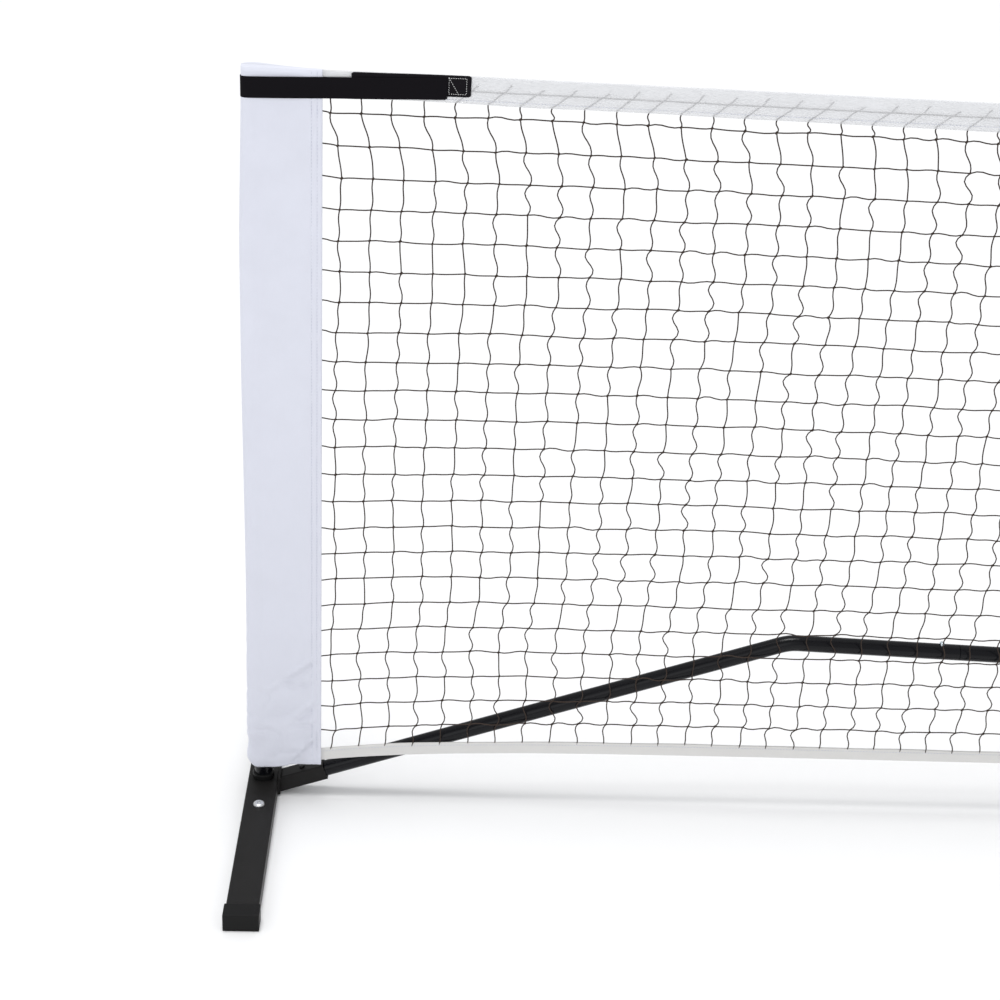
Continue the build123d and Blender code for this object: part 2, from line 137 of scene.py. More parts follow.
class NettingSettings(bpy.types.PropertyGroup):
    """Sizes of the knotted twine."""

    pitch: length_setting("Mesh pitch", 0.0344, "Distance between knots")
    first_column: length_setting("First column", 0.0871, "From the post's axis to the first upright cord")
    rows: IntProperty(name="Rows", description="Rows of knots between the bindings", default=23)
    first_drop: length_setting("First row drop", 0.014, "From the top binding's edge to the first knots")
    last_rise: length_setting("Last row rise", 0.028, "From the bottom binding's edge to the last knots")
    cord: length_setting("Cord diameter", 0.0016, "Thickness of the twine")
    knot: FloatVectorProperty(
        name="Knot size",
        description="Length, thickness and height of a knot",
        default=(0.0040, 0.0026, 0.0027),
        unit="LENGTH",
    )
    lean: length_setting("Top lean", 0.0145, "How far the first row of knots is dragged sideways")
    sway: length_setting("Sway", 0.0040, "How far whole rows drift sideways")
    upright_bow: length_setting("Upright bow", 0.0056, "How far the upright cords curve between knots")
    cross_bow: length_setting("Cross bow", 0.0030, "How far the level cords curve between knots")
    seed: IntProperty(name="Seed", description="Seed of the twine's unevenness", default=7)


class ClothSettings(bpy.types.PropertyGroup):
    """Sizes of the sleeves, bindings, straps and stitching."""

    sleeve_wall: length_setting("Sleeve cloth", 0.0006, "Thickness of the sleeve's cloth")
    sleeve_bulge: length_setting("Sleeve bulge", 0.0055, "How far the sleeve hangs loose past the post")
    crease: length_setting("Crease depth", 0.0060, "Depth of the creases near the sleeve's foot")
    binding_wall: length_setting("Binding cloth", 0.0005, "Thickness of the bindings' cloth")
    stitch_pitch: length_setting("Stitch pitch", 0.0038, "Distance between stitches")
    stitch_thread: length_setting("Thread", 0.0005, "Thickness of the sewing thread")
    strap_width: length_setting("Strap width", STRAP_WIDTH, "Width of the webbing")


class FinishSettings(bpy.types.PropertyGroup):
    """Colours of the finishes."""

    tube: colour_setting("Tube coat", (0.0028, 0.0030, 0.0044), "Powder coat of the tubes")
    foot: colour_setting("Foot coat", (0.0118, 0.0112, 0.0108), "Powder coat of the feet")
    plastic: colour_setting("Moulded plastic", (0.0095, 0.0095, 0.0095), "End caps, post caps and collars")
    sleeve: colour_setting("Sleeve cloth", (0.77, 0.785, 0.875), "Coated cloth of the sleeves")
    binding: colour_setting("Binding cloth", (0.925, 0.93, 0.945), "Cloth of the top binding")
    webbing: colour_setting("Webbing", (0.0072, 0.0064, 0.0080), "Straps and tabs")
    twine: colour_setting("Twine", (0.034, 0.023, 0.018), "Cords and knots")


# ---------------------------------------------------------------- node trees


class Value:
    """A socket of a node tree. Arithmetic on it adds Math nodes to the tree."""

    def __init__(self, graph, socket):
        self.graph = graph
        self.socket = socket

    def __add__(self, other):
        return self.graph.math("ADD", self, other)

    def __sub__(self, other):
        return self.graph.math("SUBTRACT", self, other)

    def __rsub__(self, other):
        return self.graph.math("SUBTRACT", other, self)

    def __mul__(self, other):
        return self.graph.math("MULTIPLY", self, other)

    __radd__ = __add__
    __rmul__ = __mul__


class Graph:
    """A node tree that is written as calls."""

    def __init__(self, tree):
        self.tree = tree

    def add(self, kind, settings=(), inputs=(), output=0):
        """Add a node, set its properties, fill its sockets, and return one of its outputs."""
        node = self.tree.nodes.new(kind)
        for name, value in dict(settings).items():
            setattr(node, name, value)
        for name, value in dict(inputs).items():
            if isinstance(value, Value):
                self.tree.links.new(value.socket, node.inputs[name])
            else:
                node.inputs[name].default_value = value
        return Value(self, node.outputs[output])

    def math(self, operation, first, second=0.0):
        return self.add("ShaderNodeMath", {"operation": operation}, {0: first, 1: second})

    def vector(self, operation, first, second):
        return self.add("ShaderNodeVectorMath", {"operation": operation}, {0: first, 1: second})

    def scaled(self, vector, factor):
        return self.add("ShaderNodeVectorMath", {"operation": "SCALE"}, {0: vector, "Scale": factor})

    def split(self, vector):
        """The three parts of a vector."""
        node = self.add("ShaderNodeSeparateXYZ", inputs={0: vector}).socket.node
        return [Value(self, node.outputs[i]) for i in range(3)]

    def joined(self, x=0.0, y=0.0, z=0.0):
        return self.add("ShaderNodeCombineXYZ", inputs={0: x, 1: y, 2: z})

    def ramp(self, value, low, high):
        """0 below low, 1 above high, and a smooth step between."""
        return self.add(
            "ShaderNodeMapRange",
            {"interpolation_type": "SMOOTHSTEP"},
            {"Value": value, "From Min": low, "From Max": high},
        )

    def grain(self, place, scale, detail=2.0, roughness=0.5):
        """Soft noise from 0 to 1."""
        return self.add(
            "ShaderNodeTexNoise",
            inputs={"Vector": place, "Scale": scale, "Detail": detail, "Roughness": roughness},
        )


# ---------------------------------------------------------------- geometry trees


class Recipe(Graph):
    """A Geometry Nodes tree with named inputs, that turns a drawn route into a solid piece."""

    def __init__(self, name, inputs):
        super().__init__(bpy.data.node_groups.new(name, "GeometryNodeTree"))
        face = self.tree.interface
        face.new_socket("Route", in_out="INPUT", socket_type="NodeSocketGeometry")
        for label, kind in inputs:
            face.new_socket(label, in_out="INPUT", socket_type=f"NodeSocket{kind}")
        face.new_socket("Piece", in_out="OUTPUT", socket_type="NodeSocketGeometry")
        self.group_input = self.tree.nodes.new("NodeGroupInput")

    def given(self, label):
        return Value(self, self.group_input.outputs[label])

    def close(self, geometry):
        """End the tree with Realize Instances and Set Material."""
        real = self.add("GeometryNodeRealizeInstances", inputs={0: geometry})
        smooth = self.add("GeometryNodeSetShadeSmooth", inputs={"Geometry": real})
        done = self.add(
            "GeometryNodeSetMaterial", inputs={"Geometry": smooth, "Material": self.given("Material")}
        )
        end = self.tree.nodes.new("NodeGroupOutput")
        self.tree.links.new(done.socket, end.inputs[0])
        return self.tree


def cord_recipe():
    """Runs a round cord along each edge of a lattice, bowed and waved between its two knots."""
    recipe = Recipe(
        "cord_between_knots",
        (
            ("Radius", "Float"),
            ("Bow", "Float"),
            ("Wave", "Float"),
            ("Across", "Vector"),
            ("Steps", "Int"),
            ("Sides", "Int"),
            ("Seed", "Float"),
            ("Material", "Material"),
        ),
    )
    loose = recipe.add("GeometryNodeSplitEdges", inputs={"Mesh": recipe.given("Route")})
    lines = recipe.add("GeometryNodeMeshToCurve", inputs={"Mesh": loose})
    lines = recipe.add(
        "GeometryNodeResampleCurve", {"mode": "COUNT"}, {"Curve": lines, "Count": recipe.given("Steps")}
    )
    along = recipe.add("GeometryNodeSplineParameter", output="Factor")
    place = recipe.add("GeometryNodeInputPosition")
    centre = recipe.add(
        "GeometryNodeFieldOnDomain", {"data_type": "FLOAT_VECTOR", "domain": "CURVE"}, {0: place}
    )
    # Slow noise makes neighbours bow alike, and fine noise gives each cord a bow and wave of its own.
    here = recipe.vector("ADD", centre, recipe.joined(y=recipe.given("Seed")))
    shared = recipe.grain(here, 9.0, 2.0)
    own = recipe.grain(here, 160.0, 0.0)
    arch = recipe.math("SINE", along * math.pi)
    wave = recipe.math("SINE", along * (2 * math.pi))
    push = arch * (shared - 0.5) * 2.2 + wave * (recipe.given("Wave") + (own - 0.5) * 1.8)
    push = push + arch * (own - 0.5) * 1.0
    slack = recipe.add("GeometryNodeInputNamedAttribute", {"data_type": "FLOAT"}, {"Name": "slack"})
    shift = recipe.scaled(recipe.given("Across"), push * recipe.given("Bow") * slack)
    lines = recipe.add("GeometryNodeSetPosition", inputs={"Geometry": lines, "Offset": shift})
    ring = recipe.add(
        "GeometryNodeCurvePrimitiveCircle",
        {"mode": "RADIUS"},
        {"Resolution": recipe.given("Sides"), "Radius": recipe.given("Radius")},
    )
    solid = recipe.add(
        "GeometryNodeCurveToMesh", inputs={"Curve": lines, "Profile Curve": ring, "Fill Caps": True}
    )
    return recipe.close(solid)


def knot_recipe():
    """Puts a small lump on each point of a lattice, tilted a little at random."""
    recipe = Recipe(
        "knot_on_points",
        (("Size", "Vector"), ("Tilt", "Float"), ("Seed", "Int"), ("Material", "Material")),
    )
    lump = recipe.add("GeometryNodeMeshUVSphere", inputs={"Segments": 8, "Rings": 5, "Radius": 0.5})
    spin = recipe.add(
        "FunctionNodeRandomValue",
        {"data_type": "FLOAT"},
        {2: -0.5, 3: 0.35, "Seed": recipe.given("Seed")},
        output=1,
    )
    grow = recipe.add(
        "FunctionNodeRandomValue",
        {"data_type": "FLOAT"},
        {2: 0.85, 3: 1.15, "Seed": recipe.given("Seed") + 1.0},
        output=1,
    )
    turn = recipe.joined(x=spin, y=recipe.given("Tilt") + spin, z=spin)
    placed = recipe.add(
        "GeometryNodeInstanceOnPoints",
        inputs={
            "Points": recipe.given("Route"),
            "Instance": lump,
            "Rotation": turn,
            "Scale": recipe.scaled(recipe.given("Size"), grow),
        },
    )
    return recipe.close(placed)


def bead_recipe():
    """Sets small oval beads along drawn lines, for stitches and for the ripples of a weld."""
    recipe = Recipe(
        "beads_on_line",
        (("Pitch", "Float"), ("Size", "Vector"), ("Tilt", "Float"), ("Material", "Material")),
    )
    line = recipe.add("GeometryNodeMeshToCurve", inputs={"Mesh": recipe.given("Route")})
    node = recipe.add(
        "GeometryNodeCurveToPoints", {"mode": "LENGTH"}, {"Curve": line, "Length": recipe.given("Pitch")}
    ).socket.node
    points, tangent = Value(recipe, node.outputs["Points"]), Value(recipe, node.outputs["Tangent"])
    turn = recipe.add(
        "FunctionNodeAlignRotationToVector", {"axis": "X", "pivot_axis": "AUTO"}, {"Vector": tangent}
    )
    bead = recipe.add("GeometryNodeMeshUVSphere", inputs={"Segments": 6, "Rings": 4, "Radius": 0.5})
    oval = recipe.add("GeometryNodeTransform", inputs={"Geometry": bead, "Scale": recipe.given("Size")})
    lean = recipe.joined(y=recipe.given("Tilt"))
    tilted = recipe.add("GeometryNodeTransform", inputs={"Geometry": oval, "Rotation": lean})
    placed = recipe.add(
        "GeometryNodeInstanceOnPoints", inputs={"Points": points, "Instance": tilted, "Rotation": turn}
    )
    return recipe.close(placed)


# ---------------------------------------------------------------- meshes and pieces


def mesh_object(name, points, edges=(), faces=()):
    """A new object at the origin, with its place in its mesh."""
    mesh = bpy.data.meshes.new(name)
    mesh.from_pydata([tuple(p) for p in points], list(edges), [tuple(f) for f in faces])
    mesh.validate()
    piece = bpy.data.objects.new(name, mesh)
    bpy.context.scene.collection.objects.link(piece)
    return piece


def surface(name, rows, wrapped=False, flipped=False):
    """A smooth quad surface through rows of points; wrapped joins each row's two ends."""
    rows = np.asarray(rows, float)
    high, wide = rows.shape[:2]
    last = wide if wrapped else wide - 1
    faces = []
    for i in range(high - 1):
        for j in range(last):
            k = (j + 1) % wide
            face = (i * wide + j, i * wide + k, (i + 1) * wide + k, (i + 1) * wide + j)
            faces.append(face[::-1] if flipped else face)
    piece = mesh_object(name, rows.reshape(-1, 3), faces=faces)
    piece.data.polygons.foreach_set("use_smooth", [True] * len(faces))
    return piece


def settle(piece):
    """Turn a piece's live modifiers into its plain mesh."""
    evaluated = piece.evaluated_get(bpy.context.evaluated_depsgraph_get())
    mesh = bpy.data.meshes.new_from_object(evaluated)
    mesh.name = piece.name
    piece.modifiers.clear()
    piece.data = mesh
    return piece


def thicken(piece, wall, offset=-1.0):
    """Give a cloth surface its thickness."""
    solid = piece.modifiers.new("wall", "SOLIDIFY")
    solid.thickness = wall
    solid.offset = offset
    solid.use_rim = True
    return settle(piece)


def weld_seams(piece, distance=1e-5):
    """Merge doubled points and point the faces outwards."""
    work = bmesh.new()
    work.from_mesh(piece.data)
    bmesh.ops.remove_doubles(work, verts=work.verts, dist=distance)
    bmesh.ops.recalc_face_normals(work, faces=work.faces)
    work.to_mesh(piece.data)
    work.free()
    return piece


def grow(name, route, recipe, values):
    """Run a recipe on a route, with its inputs by name, and keep the result as a plain mesh."""
    modifier = route.modifiers.new(name, "NODES")
    modifier.node_group = recipe
    for item in recipe.interface.items_tree:
        if item.in_out == "INPUT" and item.name in values:
            modifier[item.identifier] = values[item.name]
    route.name = name
    return settle(route)


def joined_lines(name, lines):
    """One route object from lines of points."""
    points, edges = [], []
    for line in lines:
        edges += [(len(points) + k, len(points) + k + 1) for k in range(len(line) - 1)]
        points += line
    return mesh_object(name, points, edges=edges)


def ride_frame(piece, slot, *replaced):
    """Put a finished piece on the frame's body."""
    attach(piece, FRAME_BODY)
    if replaced:
        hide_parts(*replaced)
    return piece


def paint(piece, material):
    piece.data.materials.clear()
    piece.data.materials.append(material)
    return piece


def drift(x, y, z=0.0, seed=0.0):
    """Smooth noise from about -1 to 1."""
    return noise.noise(Vector((x, y, z + 17.3 * seed)))


def hump(value, centre, width):
    """1 at centre, falling smoothly to 0 at a few widths away."""
    return math.exp(-(((value - centre) / width) ** 2))


def eased(value, low, high):
    """A smooth step from 0 at low to 1 at high."""
    t = min(max((value - low) / (high - low), 0.0), 1.0)
    return t * t * (3 - 2 * t)


def squared(x, y, corner=0.62):
    """A place on the unit circle, pushed out towards the corner where cloth turns at the front."""
    if x >= 0:
        return x, y
    if y >= 0:
        return x * (0.86 + 0.14 * y), y
    out = (-y) ** corner
    return -((-x) ** corner) * (0.86 + 0.14 * out), -out


# ---------------------------------------------------------------- finishes


class Finish(Graph):
    """A material, with the patterns that the finishes share."""

    def __init__(self, name):
        self.material = bpy.data.materials.new(f"{name}_finish")
        self.material.use_nodes = True
        super().__init__(self.material.node_tree)
        self.tree.nodes.clear()
        self.shader = self.tree.nodes.new("ShaderNodeBsdfPrincipled")
        end = self.tree.nodes.new("ShaderNodeOutputMaterial")
        self.tree.links.new(self.shader.outputs[0], end.inputs["Surface"])
        self.place = self.add("ShaderNodeTexCoord", output="Object")

    def stretched(self, x=1.0, y=1.0, z=1.0):
        """Object coordinates, scaled on each axis."""
        return self.vector("MULTIPLY", self.place, (x, y, z))

    def mixed(self, factor, first, second):
        """A colour between two."""
        return self.add(
            "ShaderNodeMix", {"data_type": "RGBA", "clamp_factor": True}, {0: factor, 6: first, 7: second}, 2
        )

    def raised(self, height, distance, strength=1.0, below=None):
        inputs = {"Height": height, "Distance": distance, "Strength": strength}
        if below is not None:
            inputs["Normal"] = below
        return self.add("ShaderNodeBump", inputs=inputs)

    def set(self, **inputs):
        """Fill the shader's sockets; an underscore stands for a space."""
        for name, value in inputs.items():
            socket = self.shader.inputs[name.replace("_", " ")]
            if isinstance(value, Value):
                self.tree.links.new(value.socket, socket)
            else:
                socket.default_value = value
        return self.material


def shade(colour, factor):
    """A colour as RGBA, made darker or lighter."""
    return (*(min(c * factor, 1.0) for c in colour), 1.0)


def powder_coat(name, colour, rough, scuffs, gloss):
    """Baked black powder: fine orange peel, faint dust, and light rubbed streaks."""
    coat = Finish(name)
    peel = coat.grain(coat.place, 900.0, 2.0)
    cloud = coat.grain(coat.place, 14.0, 3.0)
    rubbed = coat.ramp(coat.grain(coat.stretched(18.0, 160.0, 160.0), 3.0, 4.0, 0.7), 0.62, 0.8)
    tint = coat.mixed(cloud, shade(colour, 0.8), shade(colour, 1.3))
    tint = coat.mixed(rubbed * scuffs, tint, shade(colour, 3.2))
    bump = coat.raised(peel, 0.00004, 0.7, coat.raised(cloud, 0.0004, 0.15))
    return coat.set(
        Base_Color=tint,
        Roughness=cloud * 0.12 + rubbed * 0.08 * scuffs + (rough - 0.06),
        Normal=bump,
        Specular_IOR_Level=gloss,
    )


def moulded_plastic(name, colour, rough):
    """Injection-moulded plastic with a spark-eroded grain and faint flow marks."""
    plastic = Finish(name)
    grain = plastic.grain(plastic.place, 2600.0, 2.0, 0.6)
    flow = plastic.grain(plastic.stretched(1.0, 3.0, 1.0), 22.0, 3.0)
    tint = plastic.mixed(flow, shade(colour, 0.85), shade(colour, 1.35))
    bump = plastic.raised(grain, 0.00003, 0.6)
    return plastic.set(
        Base_Color=tint, Roughness=flow * 0.14 + (rough - 0.07), Normal=bump, Specular_IOR_Level=0.12
    )


def plated_steel(name, colour, rough):
    """Bright plated steel with fine turning marks and a cloudy film."""
    metal = Finish(name)
    marks = metal.grain(metal.stretched(1.0, 1.0, 40.0), 260.0, 2.0)
    film = metal.grain(metal.place, 300.0, 3.0)
    tint = metal.mixed(film, shade(colour, 0.85), shade(colour, 1.1))
    bump = metal.raised(marks, 0.00002, 0.5)
    return metal.set(
        Base_Color=tint, Metallic=1.0, Roughness=film * 0.16 + (rough - 0.05), Normal=bump
    )


def woven(cloth, pitch_x, pitch_z):
    """Height of a plain weave in the plane of the net."""
    x, _, z = cloth.split(cloth.place)
    warp = cloth.math("SINE", x * (2 * math.pi / pitch_x))
    weft = cloth.math("SINE", z * (2 * math.pi / pitch_z))
    return warp * weft * 0.5 + 0.5


def sleeve_cloth(colour):
    """Coated polyester: a tight weave, soft cloudiness, and painted shade that darkens it towards the
    bottom.
    """
    cloth = Finish("sleeve_cloth")
    weave = woven(cloth, 0.0011, 0.0011)
    cloud = cloth.grain(cloth.place, 24.0, 4.0, 0.6)
    slub = cloth.grain(cloth.stretched(30.0, 30.0, 2.0), 24.0, 2.0)
    height = cloth.split(cloth.place)[2]
    tint = cloth.mixed(cloud, shade(colour, 0.94), shade(colour, 1.04))
    # Painted shade: the colour is mixed towards a darker copy of itself, more the lower the cloth is.
    tint = cloth.mixed(cloth.ramp(height, 0.75, 0.1) * 0.5, tint, shade(colour, 0.90))
    tint = cloth.mixed(slub * 0.12, tint, shade(colour, 1.08))
    bump = cloth.raised(weave, 0.00006, 0.5, cloth.raised(cloud, 0.0012, 0.35))
    return cloth.set(
        Base_Color=tint, Roughness=cloud * 0.1 + 0.68, Normal=bump, Sheen_Weight=0.15, Sheen_Roughness=0.4
    )


def binding_cloth(name, colour, opacity, ribs):
    """Light binding tape: lengthwise ribs, thin enough for the cords inside to show faintly."""
    cloth = Finish(name)
    _, _, z = cloth.split(cloth.place)
    rib = cloth.math("SINE", z * (2 * math.pi / ribs)) * 0.5 + 0.5
    cloud = cloth.grain(cloth.stretched(1.0, 1.0, 2.0), 30.0, 4.0, 0.65)
    thread = cloth.grain(cloth.stretched(0.06, 1.0, 1.0), 900.0, 2.0)
    tint = cloth.mixed(cloud, shade(colour, 0.93), shade(colour, 1.05))
    tint = cloth.mixed(thread * 0.25, tint, shade(colour, 0.88))
    bump = cloth.raised(rib * thread, 0.00008, 0.4, cloth.raised(cloud, 0.0006, 0.4))
    return cloth.set(
        Base_Color=tint, Roughness=cloud * 0.12 + 0.66, Normal=bump, Alpha=opacity, Sheen_Weight=0.1
    )


def webbing(name, colour, fuzz):
    """Woven strap read along its own length: ribs across, cords along, and a lint of loops."""
    web = Finish(name)
    place = web.add("ShaderNodeUVMap", {"uv_map": "along"})
    along, across, _ = web.split(place)
    rib = web.math("SINE", along * (2 * math.pi / 0.0013))
    cord = web.math("SINE", across * (2 * math.pi / 0.0016))
    lint = web.grain(place, 1500.0, 3.0, 0.7)
    weave = rib * cord * (0.5 - 0.4 * fuzz) + lint * fuzz
    tint = web.mixed(weave + 0.3, shade(colour, 0.7), shade(colour, 1.8))
    bump = web.raised(weave, 0.0001, 0.7)
    return web.set(
        Base_Color=tint,
        Roughness=lint * 0.15 + 0.72,
        Normal=bump,
        Sheen_Weight=0.04 * fuzz,
        Sheen_Roughness=0.5,
        Specular_IOR_Level=0.04,
    )


def twine_finish(colour):
    """Tarred twisted twine: strands winding round the cord, brown where the tar is thin."""
    twine = Finish("twine")
    strand = twine.grain(twine.place, 1400.0, 2.0, 0.6)
    patch = twine.grain(twine.place, 60.0, 3.0)
    tint = twine.mixed(strand, shade(colour, 0.55), shade(colour, 2.0))
    tint = twine.mixed(twine.ramp(patch, 0.5, 0.75) * 0.6, tint, (0.050, 0.036, 0.028, 1.0))
    bump = twine.raised(strand, 0.0003, 0.7)
    return twine.set(
        Base_Color=tint, Roughness=patch * 0.2 + 0.6, Normal=bump, Specular_IOR_Level=0.2
    )


def sewing_thread(name, colour):
    """Bonded thread: a short twist repeated along each stitch."""
    thread = Finish(name)
    twist = thread.grain(thread.place, 3000.0, 1.0)
    tint = thread.mixed(twist, shade(colour, 0.85), shade(colour, 1.05))
    return thread.set(Base_Color=tint, Roughness=twist * 0.2 + 0.5, Normal=thread.raised(twist, 0.0001, 0.6))


def painted(node, material):
    """Give a part of the frame its finish."""
    slots = frame["nodes"][node].material_slots
    for slot in slots:
        slot.material = material
    if not slots:
        frame["nodes"][node].data.materials.append(material)


# ---------------------------------------------------------------- operators


class NetOperator:
    """What the operators share: undo, the settings, and a way to find a finish."""

    bl_options = {"REGISTER", "UNDO"}

    @property
    def netting(self):
        return bpy.context.scene.court_net_netting

    @property
    def cloth(self):
        return bpy.context.scene.court_net_cloth

    @property
    def colours(self):
        return bpy.context.scene.court_net_finish

    def finish(self, name):
        found = bpy.data.materials.get(f"{name}_finish")
        if found is None:
            raise RuntimeError(f"the finish {name} is made first, by court_net.finishes")
        return found


class COURT_NET_OT_finishes(NetOperator, bpy.types.Operator):
    """Make every finish, and give the frame's own parts theirs"""

    bl_idname = "court_net.finishes"
    bl_label = "Finishes"

    def execute(self, context):
        colours = self.colours
        tube = powder_coat("tube_coat", colours.tube, 0.24, 0.35, 0.22)
        foot = powder_coat("foot_coat", colours.foot, 0.42, 0.8, 0.16)
        cap = moulded_plastic("moulded_cap", colours.plastic, 0.52)
        collar = moulded_plastic("moulded_collar", colours.plastic, 0.3)
        zinc = plated_steel("zinc_screw", (0.78, 0.79, 0.8), 0.3)
        button = plated_steel("button_steel", (0.72, 0.8, 0.85), 0.22)
        dark = powder_coat("button_black", (0.006, 0.006, 0.006), 0.2, 0.2, 0.4)
        plain = plated_steel("plain_steel", (0.42, 0.42, 0.43), 0.45)
        sleeve_cloth(colours.sleeve)
        binding_cloth("top_binding", colours.binding, 0.43, 0.0016)
        unbleached = tuple(c * w for c, w in zip(colours.binding, (0.85, 0.835, 0.80)))
        binding_cloth("bottom_binding", unbleached, 0.97, 0.0013)
        webbing("webbing", colours.webbing, 0.15)
        webbing("loop_webbing", colours.webbing, 0.7)
        twine_finish(colours.twine)
        sewing_thread("pale_thread", (0.62, 0.64, 0.74))
        sewing_thread("white_thread", (0.85, 0.85, 0.84))
        by_word = (
            ("foot_cap", cap),
            ("foot_screws", zinc),
            ("foot_plate", plain),
            ("foot_tube", foot),
            ("post_cap", cap),
            ("post_collar", collar),
            ("post_spigot", plain),
            ("button_clips", plain),
            ("button_socket", dark),
            ("button_", button),
            ("socket", foot),
            ("tube", tube),
            ("hub", tube),
            ("upright", tube),
        )
        for node in frame["nodes"]:
            material = next((m for word, m in by_word if word in node), tube)
            painted(node, material)
        return {"FINISHED"}


class COURT_NET_OT_twine(NetOperator, bpy.types.Operator):
    """Knot the netting: upright cords, level cords and their knots, in two halves"""

    bl_idname = "court_net.twine"
    bl_label = "Netting"

    FIRST_ROW = 3  # place of the first row of knots in a column

    def execute(self, context):
        net = self.netting
        columns = round(2 * (HALF - net.first_column) / net.pitch)
        places = self.knot_places(columns)
        cords, lumps = cord_recipe(), knot_recipe()
        twine = self.finish("twine")
        cord = {"Radius": net.cord / 2, "Sides": 5, "Material": twine}
        families = (
            (
                "upright",
                {"Bow": net.upright_bow, "Wave": -0.34, "Across": (1.0, -0.2, 0.0), "Steps": 8, "Seed": 1.0},
            ),
            (
                "level",
                {"Bow": net.cross_bow, "Wave": 0.1, "Across": (0.0, -0.3, 1.0), "Steps": 6, "Seed": 5.0},
            ),
        )
        lump = {"Size": tuple(net.knot), "Tilt": -0.6, "Seed": net.seed, "Material": twine}
        halfway = (columns + 3) // 2
        for side, first, last in (("left", 0, halfway), ("right", halfway, columns + 2)):
            for family, values in families:
                route = self.lattice(places[first : last + 1], side == "left", family == "upright")
                piece = grow(f"{side}_{family}_cords", route, cords, {**cord, **values})
                ride_frame(piece, "twine", "netting")
            tied = places[first + 1 : min(last + 1, columns + 2), self.FIRST_ROW : -1]
            points = mesh_object("knots", tied.reshape(-1, 3))
            ride_frame(grow(f"{side}_knots", points, lumps, lump), "twine", "netting")
        return {"FINISHED"}

    def knot_places(self, columns):
        """Places by column and row. The first and last columns lie in the seams. Down each column
        come a loose end, the top border cord, the binding's edge, the knots, and the bottom border
        cord."""
        net = self.netting
        rng = np.random.RandomState(net.seed)
        step = 2 * (HALF - net.first_column) / columns
        places = np.zeros((columns + 3, net.rows + self.FIRST_ROW + 1, 3))
        for i in range(columns + 3):
            x = at(LEFT, net.first_column) + step * (i - 1)
            if i in (0, columns + 2):
                x = at(LEFT if i == 0 else RIGHT, SEAM - 0.003)
            top, low = TOP_EDGE(x), LOW_EDGE(x)
            first, last = top - net.first_drop, low + net.last_rise
            heights = [first + (last - first) * j / (net.rows - 1) for j in range(net.rows)]
            ends = [top + TOP_TAPE_HEIGHT * h for h in (rng.uniform(0.66, 0.86), 0.5, 0.02)]
            inside = 0 < i < columns + 2
            for j, z in enumerate(ends + heights + [low - BOTTOM_TAPE_HEIGHT / 2]):
                places[i, j] = (x, NET_Y, z)
                if inside:
                    places[i, j] += self.unevenness(x, j - self.FIRST_ROW + 1, rng)
        return places

    def unevenness(self, x, row, rng):
        """How far a place is from its even one, from row 1 at the first knots."""
        net = self.netting
        jitter = rng.uniform(-1, 1, 3) * (0.0010, 0.0, 0.0011)
        # The shift along the net fades with the distance from a sleeve.
        slow = 0.0022 + 0.0080 * math.exp(-(HALF - abs(x) - SEAM) / 0.09)
        if row > net.rows:
            return np.array([jitter[0] - 0.004, 0.0, 0.0])
        if row < 1:
            reach = (-net.lean, 0.0020, 0.0095)[-row]
            loose = 0.0030 * drift(x * 17.0, 0.4, seed=net.seed + 5) * (row < 0)
            return np.array([reach + loose + slow, 0.0, 0.0])
        # The binding drags the first knots sideways, and the lowest rows have swung back a little.
        lean = 0.0022 - net.lean * math.exp(-(row - 1) / 1.05)
        lean -= 0.0060 * eased(row, net.rows * 0.74, net.rows * 0.86)
        held = math.exp(-(row - 1) / 3.0) + math.exp(-(net.rows - row) / 2.5)
        lean += (slow - 0.0022) * min(held, 1.0)
        rows = drift(x * 0.9, row * 0.53, seed=net.seed)
        bulk = drift(x * 2.1, row * 0.16, seed=net.seed + 1)
        rise = drift(x * 1.7, row * 0.21, seed=net.seed + 2)
        depth = -0.0010 - 0.0016 * abs(drift(x * 5.0, row * 0.4, seed=net.seed + 3))
        return jitter + np.array([lean + net.sway * rows + 0.003 * bulk, depth, 0.0035 * rise])

    def lattice(self, part, with_start, upright):
        """The edges of one half of the netting, as a mesh: one family of cords."""
        wide, high = part.shape[:2]
        edges = []
        for i in range(wide):
            for j in range(high):
                here = i * high + j
                if upright and j + 1 < high and self.has_upright(i, wide, with_start):
                    edges.append((here, here + 1))
                if not upright and i + 1 < wide and j not in (0, self.FIRST_ROW - 1):
                    edges.append((here, here + high))
        route = mesh_object("lattice", part.reshape(-1, 3), edges=edges)
        # Cords are straighter near the posts and inside the bindings, and loosest in the lowest rows.
        away = [HALF - abs(x) for x in part[:, 0, 0]]
        taut = np.array([[0.5 + 0.5 * eased(a, 0.12, 0.45)] for a in away], np.float32)
        slack = np.ones((wide, high), np.float32) * taut
        slack[:, : self.FIRST_ROW] = 0.2
        slack[:, -1] = 0.3
        slack[:, -5:-1] *= (1.1, 1.2, 1.3, 1.4)
        route.data.attributes.new("slack", "FLOAT", "POINT").data.foreach_set("value", slack.ravel())
        return route

    @staticmethod
    def has_upright(i, wide, with_start):
        """The seam columns have no upright cord, and the shared column belongs to the left half."""
        return i > 0 if with_start else 0 < i < wide - 1


